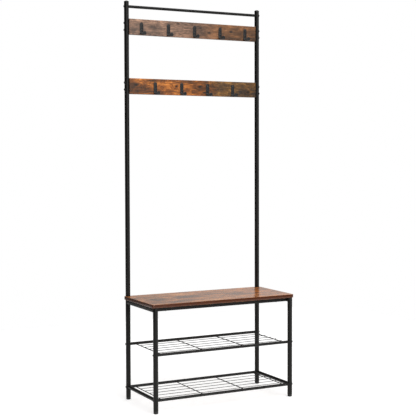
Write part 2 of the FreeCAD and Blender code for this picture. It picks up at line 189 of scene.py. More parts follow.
def rounded_end(radius, edge, outer, inward, wear):
    """Profile points that round the end of a bar: a quarter circle from the flat end to the side.

    outer is the end's height and inward is +1 if the bar lies above it or -1 if below.
    """
    t = np.linspace(0, np.pi / 2, 5)
    r = radius - edge * (1 - np.sin(t))
    z = outer + inward * edge * (1 - np.cos(t))
    return [(a, b, wear * np.sin(2 * c)) for a, b, c in zip(r, z, t)]


def bar(start, end, radius, edge, around, wear=0.0):
    """A round bar with rounded edges: a circle carried from start to end."""
    start, end = np.asarray(start, float), np.asarray(end, float)
    length = np.linalg.norm(end - start)
    lower = rounded_end(radius, edge, 0.0, 1, wear)
    upper = rounded_end(radius, edge, length, -1, wear)[::-1]
    between = [(radius, z) for z in np.linspace(edge, length - edge, 7)[1:-1]]
    return moved(turned(lower + between + upper, around), start, end - start)


def rounded_rectangle(half_a, half_b, corner, steps=6):
    """Points round a rectangle with quarter circle corners: corner's centre + corner (cos t, sin t).

    The sizes may be arrays, which gives one row of points for each of their values.
    """
    t = np.linspace(0, np.pi / 2, steps) + np.arange(4)[:, None] * np.pi / 2
    sign_a = np.array([1, -1, -1, 1])[:, None]
    sign_b = np.array([1, 1, -1, -1])[:, None]
    half_a, half_b, corner = (np.asarray(v, float)[..., None, None] for v in (half_a, half_b, corner))
    a = sign_a * (half_a - corner) + corner * np.cos(t)
    b = sign_b * (half_b - corner) + corner * np.sin(t)
    return a.reshape(*a.shape[:-2], -1), b.reshape(*b.shape[:-2], -1)


def slab(low, high, thin, corner, edge):
    """A flat board: a rounded outline, drawn in by edge (1 - sin t) where it is edge (1 - cos t) from a face.

    thin is the axis of its thickness. Two more rings inside the rounded edge keep each face flat.
    """
    middle, half = (low + high) / 2, (high - low) / 2
    first, second = [i for i in range(3) if i != thin]
    t = np.linspace(0, np.pi / 2, 6)
    inside = np.array([0.0012, 0.0004])
    inset = np.concatenate([edge + inside, edge * (1 - np.sin(t))])
    height = np.concatenate([[half[thin]] * 2, half[thin] - edge * (1 - np.cos(t))])
    band = np.concatenate([[0.0, 0.0], np.sin(t) ** 2])
    wear = np.concatenate([[0.0, 0.0], np.sin(2 * t)])
    inset = np.concatenate([inset, [0.0], inset[::-1]])
    height = np.concatenate([height, [0.0], -height[::-1]])
    band = np.concatenate([band, [1.0], band[::-1]])
    wear = np.concatenate([wear, [0.0], wear[::-1]])
    a, b = rounded_rectangle(half[first] - inset, half[second] - inset, np.maximum(corner - inset, 0.0001))
    rings = np.empty(a.shape + (3,))
    rings[..., first] = middle[first] + a
    rings[..., second] = middle[second] + b
    rings[..., thin] = middle[thin] + height[:, None]
    around = np.ones(a.shape[1])
    return stacked(rings, band=band[:, None] * around, wear=wear[:, None] * around)


def saddle_reach(half, offset, radius=TUBE_RADIUS):
    """Where a bar's skin meets the skin of a tube that it ends on: half - sqrt(radius^2 - offset^2).

    half is how far the tube's axis is from the bar's middle, and offset is how far each point of the
    bar's section is from that axis, across the bar.
    """
    return half - np.sqrt(radius ** 2 - offset ** 2)


def carried(section, reach, middle, axis):
    """A section (side, up) carried along axis through middle, from -reach to reach at each of its points."""
    side, up = section
    rows = np.linspace(-1, 1, 9)[:, None]
    rings = np.empty((len(rows), len(side), 3))
    rings[..., axis] = middle[axis] + rows * reach
    rings[..., 1 - axis] = middle[1 - axis] + side
    rings[..., 2] = middle[2] + up
    return stacked(rings)


def weld_beads(section, reach, middle, axis, size):
    """A rippled bead round both ends of a carried section.

    Each is a small circle carried round the line where the skins meet. Its radius there is
    size (1 + ripple sin(ripples a)), and it is a little flatter along axis.
    """
    along, around = 96, 8
    ripple, ripples, flatness = 0.16, 19, 0.9
    side, up, end = (resampled(values, along) for values in (*section, reach))
    run_side, run_up = np.roll(side, -1) - np.roll(side, 1), np.roll(up, -1) - np.roll(up, 1)
    length = np.hypot(run_side, run_up) + 1e-12
    out_side, out_up = run_up / length, -run_side / length
    a = angles(around)
    thick = size * (1 + ripple * np.sin(angles(along) * ripples))[:, None]
    shells = []
    for way in (-1, 1):
        rings = np.empty((along, around, 3))
        rings[..., axis] = middle[axis] + way * (end[:, None] - thick * np.sin(a) * flatness)
        rings[..., 1 - axis] = middle[1 - axis] + side[:, None] + out_side[:, None] * thick * np.cos(a)
        rings[..., 2] = middle[2] + up[:, None] + out_up[:, None] * thick * np.cos(a)
        shells.append(looped(rings, wear=np.full((along, around), 0.25)))
    return shells


def nugget(centre, size):
    """A flattened weld nugget between two wires: an ellipsoid of half sizes size."""
    t = np.linspace(0, np.pi, 8)[1:-1, None]
    a = angles(10)
    ball = np.stack([np.sin(t) * np.cos(a), np.sin(t) * np.sin(a), np.cos(t) * np.ones(len(a))], axis=-1)
    return stacked(ball * np.asarray(size) + np.asarray(centre), wear=np.full(ball.shape[:2], 0.2))


def hexagon(around):
    """A hexagon's radius over the angle: cos 30 / cos(angle within its sixth - 30), with unit corners."""
    return math.cos(math.pi / 6) / np.cos(angles(around) % (np.pi / 3) - np.pi / 6)


def cross(around):
    """A driver cross's radius over the angle: the nearer of an arm's end and an arm's side."""
    half_arm = 0.26
    from_arm = (angles(around) + np.pi / 4) % (np.pi / 2) - np.pi / 4
    return np.minimum(1 / np.cos(from_arm), half_arm / np.maximum(np.abs(np.sin(from_arm)), 0.05))


def domed_fastener(head_radius, rim, rise, under, shank_radius, length, recess, reach, depth, point=0.0):
    """A bolt or screw along Z, its head's seat at z = 0: recess, dome, rim, shank and end, turned round Z.

    The dome is a ball's cap: z = centre + sqrt(ball^2 - r^2). recess gives the socket's outline, reach its
    radius and depth how deep it is. under is how far the head's edge reaches below its seat, down onto a
    round tube, and point is the length of a screw's point.
    """
    around = 48
    edge = 0.0004
    outline = recess(around)
    ball = (head_radius ** 2 + rise ** 2) / (2 * rise)
    centre = rim + rise - ball

    def dome(r):
        return centre + np.sqrt(ball ** 2 - r ** 2)

    floor = dome(0.0) - depth
    lip = reach * outline
    profile = [
        (lip * 0.45, floor - depth * 0.12),
        (lip * 0.9, floor),
        (lip * 0.97, floor + depth * 0.5),
        (lip, dome(reach) - 0.00015, 0.6),
        (lip + 0.00012, dome(reach), 1.0),
    ]
    for share in (0.25, 0.55, 0.8, 0.95):
        r = reach * 1.08 + (head_radius - reach * 1.08) * share
        profile.append((r, dome(r), 0.35))
    profile += [(head_radius, rim, 0.8), (head_radius, rim * 0.4, 0.3), (head_radius - 0.0001, -under)]
    profile += [(shank_radius, -under - 0.0001), (shank_radius, -length + point + edge)]
    profile += [(shank_radius - edge if point == 0 else shank_radius * 0.15, -length)]
    return turned(profile, around)


def wood_screw(head_radius, length):
    """A wood screw with a domed head, a driver cross and a point."""
    return domed_fastener(
        head_radius, SCREW_RIM, SCREW_RISE, under=0.0, shank_radius=0.00175, length=length,
        recess=cross, reach=head_radius * 0.62, depth=0.0011, point=0.003)


def threaded_stud(x, y, bottom, top, radius, pitch, depth):
    """A stud with a helical thread: r = radius - depth |2 frac(z / pitch - angle / turn) - 1|."""
    around, rings_a_turn = 24, 7
    z = np.linspace(bottom, top, int((top - bottom) / pitch * rings_a_turn))[:, None]
    a = angles(around)
    groove = np.abs(2 * ((z / pitch - a / (2 * np.pi)) % 1) - 1)
    chamfer = radius - depth * 1.4 + np.minimum(z - bottom, top - z)
    r = np.minimum(radius - depth * groove, chamfer)
    wear = 1 - groove
    return stacked(np.stack([x + r * np.cos(a), y + r * np.sin(a), z * np.ones(around)], axis=-1), wear=wear)


def hook_line(work):
    """The middle line of a hook's strap as (forward, up), from the plate's top to the tip's top.

    Straight down the plate, a bend forward, a straight run down at the slope, a bend up, and the
    straight tip. The bends are the arcs (bend - bend cos t, -bend sin t) and centre + bend (sin t, -cos t).
    """
    low, high = extent(HOOKS["upper"][0])
    slope, lean, bend = work.slope, work.tip_lean, work.bend_radius
    tip_length, thick = work.tip_length, work.thickness
    t = np.linspace(0, np.pi / 2 - slope, 40)
    first = np.stack([bend - bend * np.cos(t), -bend * np.sin(t)], axis=-1)
    reach = (high[1] - low[1]) - thick / 2 - thick / 2 * math.cos(lean) - tip_length * math.sin(lean)
    run = reach - first[-1, 0] - bend * math.sin(slope) - bend * math.cos(lean)
    start = first[-1] + np.array([run, -run * math.tan(slope)])
    centre = start + bend * np.array([math.sin(slope), math.cos(slope)])
    t = np.linspace(-slope, np.pi / 2 - lean, 50)
    second = centre + bend * np.stack([np.sin(t), -np.cos(t)], axis=-1)
    tip = second[-1] + tip_length * np.array([math.sin(lean), math.cos(lean)])
    lowest = centre[1] - bend - thick / 2
    top = np.array([0.0, high[2] - low[2] + lowest])
    line = np.concatenate([[top], first, second, [tip]])
    return line - np.array([0.0, lowest])


def strap_hook(node, work):
    """A bent flat strap: a rounded section carried along the hook's line.

    Its half width is sqrt(r^2 - (r - d)^2) within r of an end, which rounds both ends, and its half
    thickness falls away in a like way within the edge radius. Its corners are worn, and so is the
    throat's floor, where loops hang.
    """
    low, high = extent(node)
    half_width, half_thick, edge = (high[0] - low[0]) / 2, work.thickness / 2, work.edge_radius
    line = hook_line(work)
    steps = np.linalg.norm(np.diff(line, axis=0), axis=1)
    along = np.concatenate([[0.0], np.cumsum(steps)])
    total = along[-1]
    rise = half_width * (1 - np.cos(np.linspace(0.02, np.pi / 2, 16)))
    s = np.concatenate([rise, np.linspace(half_width, total - half_width, 70)[1:-1], total - rise[::-1]])
    forward, up = (np.interp(s, along, line[:, i]) for i in range(2))
    step = 0.0004
    run_forward, run_up = (
        np.interp(s + step, along, line[:, i]) - np.interp(s - step, along, line[:, i]) for i in range(2))
    length = np.hypot(run_forward, run_up)
    out_forward, out_up = -run_up / length, run_forward / length
    from_end = np.minimum(s, total - s)
    width = np.sqrt(half_width ** 2 - np.maximum(half_width - from_end, 0) ** 2)
    thick = half_thick * np.sqrt(1 - 0.6 * np.maximum(1 - from_end / edge, 0) ** 2)
    corner = np.minimum(edge, np.minimum(width, thick) * 0.98)
    corner_wear = [0.25, 0.8, 1.0, 0.8, 0.25]
    a, b = rounded_rectangle(width, thick, corner, len(corner_wear))
    x = (low[0] + high[0]) / 2
    y = high[1] - half_thick - forward[:, None] - out_forward[:, None] * b
    z = low[2] + up[:, None] + out_up[:, None] * b
    throat, throat_width = 0.022, 0.008
    rubbed = np.exp(-((forward - throat) / throat_width) ** 2)[:, None] * (b * np.sign(out_up[:, None]) > 0)
    wear = np.clip(np.tile(corner_wear, 4) + rubbed, 0, 1.4)
    return stacked(np.stack([x + a, y, z], axis=-1), wear=wear)


def washer_plug(x, y, seat, flange, flange_radius, plug_radius, plug_length, bore_radius):
    """A flanged insert with a bore: its outline carried round Z as a ring."""
    edge = 0.0004
    outline = [
        (bore_radius, seat + edge), (bore_radius + edge, seat), (flange_radius - edge, seat),
        (flange_radius, seat + edge), (flange_radius, seat + flange - edge / 2),
        (flange_radius - edge / 2, seat + flange), (plug_radius, seat + flange),
        (plug_radius, seat + flange + plug_length - edge), (plug_radius - edge, seat + flange + plug_length),
        (bore_radius, seat + flange + plug_length),
    ]
    r, z = (np.array(v)[:, None] for v in zip(*outline))
    a = angles(40)
    return looped(np.stack([x + r * np.cos(a), y + r * np.sin(a), z * np.ones(len(a))], axis=-1))


# ---------------------------------------------------------------- pieces


def put_piece(name, shells, slot, stands_for, body="frame"):
    """Makes one piece from its shells, with its finish, that rides on a body in a CAD node's stead."""
    offsets = np.cumsum([0] + [len(s.points) for s in shells])
    points = np.concatenate([s.points for s in shells])
    quads = np.concatenate([s.quads + o for s, o in zip(shells, offsets)])
    tris = np.concatenate([s.tris + o for s, o in zip(shells, offsets)])
    mesh = bpy.data.meshes.new(name)
    mesh.from_pydata(points.tolist(), [], quads.tolist() + tris.tolist())
    mesh.shade_smooth()
    mesh.set_sharp_from_angle(angle=math.radians(42))
    for mark in ("wear", "band"):
        values = [s.marks.get(mark, np.zeros(len(s.points))) for s in shells]
        mesh.attributes.new(mark, "FLOAT", "POINT").data.foreach_set("value", np.concatenate(values))
    mesh.materials.append(finish(slot))
    piece = bpy.data.objects.new(name, mesh)
    bpy.context.scene.collection.objects.link(piece)
    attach(piece, body)
    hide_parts(stands_for)


def dress(node, slot):
    """Gives a CAD node that stays its finish."""
    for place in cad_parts[node].material_slots:
        place.material = finish(slot)


# ---------------------------------------------------------------- finishes


class Nodes:
    """A node tree being made: adds nodes, feeds their sockets and hands back what they give."""

    def __init__(self, tree):
        self.tree = tree

    def feed(self, socket, value):
        """Links a socket to an output, or sets it to a value."""
        if isinstance(value, bpy.types.NodeSocket):
            self.tree.links.new(value, socket)
        else:
            socket.default_value = value

    def add(self, kind, inputs=None, **settings):
        """Adds a node, gives it its settings and feeds its inputs."""
        node = self.tree.nodes.new(kind)
        for key, value in settings.items():
            setattr(node, key, value)
        for key, value in (inputs or {}).items():
            self.feed(node.inputs[key], value)
        return node

    def calc(self, operation, a, b=0.0, clamp=False):
        """Arithmetic on a and b, or on a alone."""
        return self.add("ShaderNodeMath", {0: a, 1: b}, operation=operation, use_clamp=clamp).outputs[0]

    def plus(self, a, b):
        """a + b."""
        return self.calc("ADD", a, b)

    def minus(self, a, b, clamp=False):
        """a - b."""
        return self.calc("SUBTRACT", a, b, clamp)

    def times(self, a, b, clamp=False):
        """a b."""
        return self.calc("MULTIPLY", a, b, clamp)

    def span(self, value, low, high, to_low=0.0, to_high=1.0):
        """Maps low..high smoothly to to_low..to_high, and stays within it."""
        inputs = {0: value, 1: low, 2: high, 3: to_low, 4: to_high}
        return self.add("ShaderNodeMapRange", inputs, interpolation_type="SMOOTHSTEP").outputs[0]


class Finish(Nodes):
    """One material being made, round its shader."""

    def __init__(self, name):
        self.material = bpy.data.materials.new(name)
        self.material.use_nodes = True
        super().__init__(self.material.node_tree)
        self.shader = self.tree.nodes["Principled BSDF"]
        self.place = self.add("ShaderNodeTexCoord").outputs["Object"]

    def vector(self, operation, a, b):
        """Arithmetic on two vectors."""
        return self.add("ShaderNodeVectorMath", {0: a, 1: b}, operation=operation).outputs[0]

    def distance(self, a, centre, stretch):
        """How far a lies from centre, once each axis is stretched."""
        offset = self.vector("MULTIPLY", self.vector("SUBTRACT", a, centre), stretch)
        return self.add("ShaderNodeVectorMath", {0: offset}, operation="LENGTH").outputs["Value"]

    def noise(self, stretch, detail, rough=0.5, twist=0.0, at=None):
        """Noise over the place, stretched along each axis."""
        vector = self.vector("MULTIPLY", self.place if at is None else at, stretch)
        inputs = {"Vector": vector, "Scale": 1.0, "Detail": detail, "Roughness": rough, "Distortion": twist}
        return self.add("ShaderNodeTexNoise", inputs).outputs[0]

    def mix(self, share, a, b, how="MIX"):
        """Mixes two colours."""
        node = self.add("ShaderNodeMix", data_type="RGBA", blend_type=how)
        for index, value in ((0, share), (6, a), (7, b)):
            self.feed(node.inputs[index], value)
        return node.outputs[2]

    def ramp(self, value, stops):
        """A colour ramp."""
        node = self.add("ShaderNodeValToRGB", {0: value})
        elements = node.color_ramp.elements
        while len(elements) < len(stops):
            elements.new(0.5)
        for element, (position, colour) in zip(elements, stops):
            element.position = position
            element.color = colour
        return node.outputs[0]

    def mark(self, name):
        """A mark that a shell carries at its points."""
        return self.add("ShaderNodeAttribute", attribute_name=name).outputs["Fac"]

    def bump(self, height, distance, strength):
        """Raises the surface by up to distance."""
        inputs = {"Height": height, "Distance": distance, "Strength": strength}
        return self.add("ShaderNodeBump", inputs).outputs["Normal"]

    def shade(self, **inputs):
        """Sets the shader's own sockets."""
        for key, value in inputs.items():
            self.feed(self.shader.inputs[key.replace("_", " ")], value)
        return self.material


def opaque(colour):
    """A colour with full alpha."""
    return tuple(colour) + (1.0,)


def tinted(colour, share):
    """A colour made lighter or darker."""
    return opaque(min(1.0, c * share) for c in colour[:3])


def powder_coat(name, colour, rubbed, gloss, peel):
    """Baked powder coat: orange peel, a faintly cloudy sheen, fine dust pits, and paler rubbed edges.

    gloss is the roughness of its smoothest parts and peel is the height of the orange peel.
    """
    f = Finish(name)
    cloud = f.noise((7.0, 7.0, 7.0), 3.0)
    skin = f.noise((520.0, 520.0, 520.0), 2.0, 0.45)
    pits = f.span(f.noise((1500.0, 1500.0, 1500.0), 1.0), 0.68, 0.78)
    scuff = f.span(f.noise((60.0, 60.0, 14.0), 4.0, 0.65), 0.56, 0.74)
    base = f.mix(cloud, tinted(colour, 0.8), tinted(colour, 1.25))
    base = f.mix(f.times(scuff, 0.35), base, tinted(colour, 2.2))
    broken = f.span(f.noise((240.0, 240.0, 240.0), 3.0, 0.6), 0.35, 0.7)
    worn = f.times(f.times(f.mark("wear"), broken), 0.75, clamp=True)
    base = f.mix(worn, base, rubbed)
    rough = f.span(cloud, 0.3, 0.7, gloss, gloss + 0.08)
    rough = f.plus(rough, f.times(pits, 0.1))
    rough = f.minus(rough, f.times(worn, 0.12), clamp=True)
    height = f.minus(skin, f.times(pits, 0.6))
    return f.shade(
        Base_Color=base, Roughness=rough, Specular_IOR_Level=0.2,
        Normal=f.bump(height, peel, 0.6),
    )


def moulded_plastic(name, colour):
    """Moulded black plastic with a fine spark-eroded grain and faint flow streaks."""
    f = Finish(name)
    grain = f.noise((1900.0, 1900.0, 1900.0), 2.0, 0.6)
    flow = f.noise((30.0, 30.0, 160.0), 3.0)
    base = f.mix(flow, tinted(colour, 0.75), tinted(colour, 1.35))
    base = f.mix(f.times(f.mark("wear"), 0.4), base, tinted(colour, 3.0))
    return f.shade(
        Base_Color=base, Roughness=f.span(grain, 0.3, 0.7, 0.42, 0.56), Specular_IOR_Level=0.4,
        Normal=f.bump(grain, 0.00005, 0.7),
    )


def zinc_plate(name, colour):
    """Zinc-plated steel: faint drawn lines, cloudy passivation and brighter crests."""
    f = Finish(name)
    lines = f.noise((120.0, 120.0, 1400.0), 3.0, 0.6)
    cloud = f.noise((45.0, 45.0, 45.0), 3.0)
    base = f.ramp(cloud, [(0.3, tinted(colour, 0.8)), (0.55, colour), (0.75, (0.60, 0.56, 0.44, 1.0))])
    base = f.mix(f.times(f.mark("wear"), 0.3), base, tinted(colour, 1.4))
    return f.shade(
        Base_Color=base, Metallic=1.0, Roughness=f.span(lines, 0.3, 0.7, 0.28, 0.44),
        Normal=f.bump(lines, 0.00002, 0.5),
    )


def bend_round_knots(f, board, across, knots):
    """How far off the nearest knot a point is, and across with the grain bent round every knot.

    Near a knot the across coordinate is drawn towards the knot's own, so lines of equal value part
    round it.
    """
    nearest, bent = None, across
    for knot_x, knot_across, size in knots:
        centre, stretch = (knot_x, knot_across, 0.0), (0.55 / size, 1 / size, 0.0)
        away = f.distance(board, centre, stretch)
        pull = f.span(away, 0.2, 3.4, 0.86, 0.0)
        bent = f.minus(bent, f.times(f.minus(across, knot_across), pull))
        nearest = away if nearest is None else f.calc("MINIMUM", nearest, away)
    return nearest, bent


def cloud_patches(f, board, clouds):
    """Soft dark patches in the print: the strongest of a set of stretched round falloffs, broken by noise."""
    ragged = f.span(f.noise((38.0, 75.0, 20.0), 4.0, 0.6, at=board), 0.2, 0.75, 0.35, 1.2)
    total = None
    for x, across, half_x, half_across, depth in clouds:
        away = f.distance(board, (x, across, 0.0), (1 / half_x, 1 / half_across, 0.0))
        patch = f.times(f.span(away, 0.15, 1.15, depth, 0.0), ragged)
        total = patch if total is None else f.calc("MAXIMUM", total, patch)
    return total


def printed_wood(name, across_axis, tones, band, knots, clouds, cast, cast_x, gloss):
    """Rustic printed wood: board figure, growth lines, fibres, saw marks, knots and smoky patches.

    tones run from dark to light and band is the edge strip's colour. A knot is its x, its place across
    the board and its size, and a cloud is its x, its place across, its half sizes and its depth. cast is
    what the print's colours are multiplied by at its right end, and cast_x gives the x range over which
    they turn.
    """
    f = Finish(name)
    parts = f.add("ShaderNodeSeparateXYZ", {0: f.place}).outputs
    x, across, through = parts[0], parts[across_axis], parts[3 - across_axis]
    board = f.add("ShaderNodeCombineXYZ", {0: x, 1: across, 2: through}).outputs[0]
    nearest, bent = bend_round_knots(f, board, across, knots)
    grain = f.add("ShaderNodeCombineXYZ", {0: x, 1: bent, 2: through}).outputs[0]

    broad = f.noise((4.5, 14.0, 9.0), 2.0, 0.5, at=grain)
    blotch = f.noise((26.0, 66.0, 30.0), 5.0, 0.62, 0.9, at=grain)
    figure = f.plus(f.times(broad, 0.45), f.times(blotch, 0.55))
    base = f.ramp(figure, [(0.39, tones[0]), (0.47, tones[1]), (0.55, tones[2]), (0.64, tones[3])])

    sway = f.noise((3.2, 16.0, 9.0), 2.0, at=grain)
    phase = f.plus(f.times(bent, 620.0), f.times(sway, 34.0))
    lines = f.span(f.calc("SINE", phase), 0.15, 1.0)
    faded = f.span(f.noise((8.0, 30.0, 9.0), 2.0, at=board), 0.35, 0.65)
    lines = f.times(f.times(lines, faded), 0.42)
    base = f.mix(lines, base, tinted(tones[0], 0.75))

    vein = f.noise((7.0, 44.0, 20.0), 3.0, 0.5, 1.2, at=grain)
    vein = f.calc("ABSOLUTE", f.minus(vein, 0.5))
    base = f.mix(f.span(vein, 0.003, 0.020, 0.6, 0.0), base, tinted(tones[0], 0.55))

    fibre = f.noise((34.0, 1150.0, 800.0), 3.0, 0.6, at=grain)
    base = f.mix(f.span(fibre, 0.35, 0.72, 0.0, 0.34), base, tinted(tones[0], 0.6))
    pores = f.span(f.noise((18.0, 420.0, 300.0), 2.0, at=grain), 0.64, 0.73)
    base = f.mix(f.times(pores, 0.55), base, tinted(tones[0], 0.35))
    flash = f.span(f.noise((11.0, 130.0, 60.0), 3.0, 0.6, at=grain), 0.58, 0.75)
    base = f.mix(f.times(flash, 0.5), base, tinted(tones[3], 1.15))

    saw = f.span(f.noise((330.0, 30.0, 30.0), 2.0, at=board), 0.56, 0.7)
    sawn = f.span(f.noise((9.0, 22.0, 9.0), 1.0, at=board), 0.5, 0.66)
    base = f.mix(f.times(f.times(saw, sawn), 0.5), base, tinted(tones[0], 0.5))

    smoke = f.span(f.noise((10.0, 24.0, 12.0), 4.0, 0.62, 0.3, at=board), 0.54, 0.74, 0.0, 0.55)
    smoke = f.calc("MAXIMUM", smoke, cloud_patches(f, board, clouds), clamp=True)
    base = f.mix(smoke, base, tinted(tones[0], 0.8))
    turn = f.plus(x, f.times(f.minus(broad, 0.5), 0.25))
    changed = f.mix(1.0, base, cast, "MULTIPLY")
    base = f.mix(f.span(turn, cast_x[0], cast_x[1]), base, changed)

    rings = f.span(f.calc("SINE", f.times(nearest, 8.5)), 0.0, 1.0)
    rings = f.times(rings, f.span(nearest, 0.8, 2.6, 0.55, 0.0))
    base = f.mix(rings, base, tinted(tones[0], 0.5))
    base = f.mix(f.span(nearest, 0.35, 1.05, 0.93, 0.0), base, tinted(tones[0], 0.22))

    strip = f.mix(f.span(fibre, 0.3, 0.7), tinted(band, 0.82), tinted(band, 1.2))
    base = f.mix(f.mark("band"), base, strip)
    scuffed = f.span(f.noise((90.0, 90.0, 90.0), 3.0), 0.45, 0.75, 0.0, 0.45)
    base = f.mix(f.times(f.mark("wear"), scuffed), base, tinted(tones[3], 1.1))
    rough = f.plus(f.span(fibre, 0.3, 0.7, gloss, gloss + 0.07), f.times(pores, 0.12))
    return f.shade(
        Base_Color=base, Roughness=rough, Specular_IOR_Level=0.42, Coat_Weight=0.17, Coat_Roughness=0.16,
        Normal=f.bump(f.minus(fibre, pores), 0.00004, 0.35),
    )


def seat_print(name, band):
    """The seat board's print, placed by x and y."""
    printed_wood(
        name, 1, band=band, gloss=0.2, cast=(1.03, 0.92, 0.74, 1), cast_x=(-0.05, 0.3),
        tones=[
            (0.120, 0.048, 0.021, 1), (0.41, 0.146, 0.047, 1),
            (0.67, 0.250, 0.077, 1), (0.95, 0.420, 0.138, 1),
        ],
        knots=[(-0.17, -0.03, 0.008), (0.12, 0.09, 0.007), (0.27, -0.10, 0.006), (-0.30, 0.10, 0.006)],
        clouds=[
            (-0.11, 0.0, 0.10, 0.05, 1.2), (-0.27, -0.02, 0.08, 0.07, 1.2), (-0.20, 0.12, 0.12, 0.03, 0.6),
            (0.10, 0.10, 0.10, 0.03, 0.45), (0.02, 0.05, 0.08, 0.05, 0.4),
        ],
    )


def upper_board_print(name, band, z):
    """The upper hook board's print, placed by x and by height from the board's middle, z."""
    printed_wood(
        name, 2, band=band, gloss=0.32, cast=(0.66, 0.50, 0.30, 1), cast_x=(-0.12, 0.20),
        tones=[
            (0.088, 0.055, 0.040, 1), (0.228, 0.133, 0.088, 1),
            (0.375, 0.210, 0.132, 1), (0.62, 0.363, 0.235, 1),
        ],
        knots=[
            (-0.085, z + 0.026, 0.006), (0.196, z + 0.004, 0.007),
            (0.078, z - 0.007, 0.007), (0.030, z + 0.012, 0.006),
        ],
        clouds=[
            (-0.205, z + 0.005, 0.06, 0.022, 1.0), (-0.268, z - 0.012, 0.035, 0.03, 0.6),
            (-0.12, z - 0.025, 0.04, 0.016, 0.6), (0.035, z - 0.005, 0.05, 0.04, 0.75),
            (0.17, z - 0.01, 0.06, 0.03, 0.55), (0.235, z, 0.05, 0.03, 0.5),
        ],
    )


def lower_board_print(name, band, z):
    """The lower hook board's print, placed by x and by height from the board's middle, z."""
    printed_wood(
        name, 2, band=band, gloss=0.32, cast=(0.76, 1.15, 1.9, 1), cast_x=(0.02, 0.16),
        tones=[
            (0.043, 0.019, 0.008, 1), (0.142, 0.044, 0.007, 1),
            (0.305, 0.089, 0.011, 1), (0.73, 0.245, 0.040, 1),
        ],
        knots=[
            (-0.30, z + 0.006, 0.007), (-0.095, z + 0.006, 0.0065), (0.028, z + 0.007, 0.0085),
            (0.052, z - 0.02, 0.006), (0.29, z - 0.012, 0.006),
        ],
        clouds=[
            (-0.216, z + 0.028, 0.045, 0.010, 0.9), (-0.232, z - 0.012, 0.035, 0.018, 0.6),
            (-0.325, z, 0.03, 0.05, 0.45), (-0.05, z + 0.03, 0.05, 0.010, 0.7),
            (0.14, z + 0.010, 0.05, 0.035, 0.7), (0.165, z + 0.018, 0.05, 0.02, 0.75),
            (0.26, z - 0.015, 0.07, 0.03, 0.9), (0.22, z + 0.02, 0.06, 0.02, 0.55),
            (0.315, z - 0.01, 0.035, 0.03, 0.6),
        ],
    )


def paper_floor(name, colour):
    """Pale studio paper: a soft tooth and hardly visible cloudiness."""
    f = Finish(name)
    tooth = f.noise((260.0, 260.0, 260.0), 2.0)
    cloud = f.noise((0.6, 0.6, 0.6), 2.0)
    base = f.mix(cloud, tinted(colour, 0.99), tinted(colour, 1.01))
    return f.shade(
        Base_Color=base, Roughness=0.9, Specular_IOR_Level=0.1,
        Emission_Color=(1.0, 1.0, 1.0, 1.0), Emission_Strength=0.62,
        Normal=f.bump(tooth, 0.00005, 0.2),
    )


def finish(slot):
    """The finish of a material slot, made when it is first asked for."""
    name = slot + "_finish"
    if name not in bpy.data.materials:
        make_finish(slot, name)
    return bpy.data.materials[name]


def make_finish(slot, name):
    """Makes the finish of one slot."""
    colours = bpy.context.scene.hall_tree_colours
    black, iron = opaque(colours.frame_black), opaque(colours.hook_black)
    rubbed = (0.11, 0.105, 0.10, 1.0)
    if slot == "frame_black":
        powder_coat(name, black, rubbed, 0.34, 0.00006)
    elif slot == "hook_black":
        powder_coat(name, iron, (0.16, 0.155, 0.15, 1.0), 0.33, 0.00004)
    elif slot == "wire_black":
        powder_coat(name, opaque(colours.wire_black), rubbed, 0.38, 0.00004)
    elif slot == "fastener_black":
        powder_coat(name, iron, (0.2, 0.195, 0.185, 1.0), 0.3, 0.00003)
    elif slot in ("cap_plastic", "foot_plastic", "plug_plastic"):
        moulded_plastic(name, opaque(colours.plastic_black))
    elif slot == "zinc_steel":
        zinc_plate(name, opaque(colours.zinc))
    elif slot == "seat_wood":
        seat_print(name, opaque(colours.edge_band))
    elif slot == "upper_board_wood":
        upper_board_print(name, opaque(colours.edge_band), hook_board_middles()[0])
    elif slot == "lower_board_wood":
        lower_board_print(name, opaque(colours.edge_band), hook_board_middles()[1])


# ---------------------------------------------------------------- sizes and colours to change


def length(name, description, default, least):
    """A length in metres."""
    return bpy.props.FloatProperty(
        name=name, description=description, default=default, min=least, unit="LENGTH")


def slant(name, description, degrees):
    """An angle, given here in degrees."""
    return bpy.props.FloatProperty(
        name=name, description=description, default=math.radians(degrees), subtype="ANGLE")


def amount(name, description, default, least=0.0):
    """A plain number."""
    return bpy.props.FloatProperty(name=name, description=description, default=default, min=least)


def base_colour(name, description, default):
    """A colour."""
    return bpy.props.FloatVectorProperty(
        name=name, description=description, default=default, subtype="COLOR")


class HallTreeTubes(bpy.types.PropertyGroup):
    """Details of the metal frame."""

    end_edge: length("Tube end edge", "Rounding at the cut ends of tubes", 0.0004, 0.0001)
    rail_corner: length("Rail corner", "Corner radius of the rectangular rails", 0.0022, 0.0003)
    bead: length("Weld bead", "Half thickness of the weld beads on the rails", 0.0012, 0.0003)
    nugget: length("Weld nugget", "Half width of the spot welds between wires", 0.0021, 0.0005)


class HallTreeBoards(bpy.types.PropertyGroup):
    """Details of the seat board and the hook boards."""

    seat_corner: length("Seat corner", "Corner radius of the seat board, seen from above", 0.008, 0.001)
    edge: length("Board edge", "Rounding of every board's long edges", 0.0008, 0.0002)


class HallTreeHooks(bpy.types.PropertyGroup):
    """The bent strap that every hook is made of."""

    thickness: length("Thickness", "Thickness of the strap", 0.0025, 0.001)
    bend_radius: length("Bend radius", "Radius of both bends, at the middle of the strap", 0.009, 0.003)
    slope: slant("Slope", "How steeply the strap runs down from the plate", 15)
    tip_lean: slant("Tip lean", "How far the tip leans outwards", 5)
    tip_length: length("Tip length", "Straight part of the tip", 0.0074, 0.001)
    edge_radius: length("Edge radius", "Rounding along the strap's edges", 0.0005, 0.0001)
    screw_from_top: length("First screw", "From the plate's top to the upper screw", 0.011, 0.004)
    screw_spacing: length("Screw spacing", "Between the two screws of a hook", 0.022, 0.008)


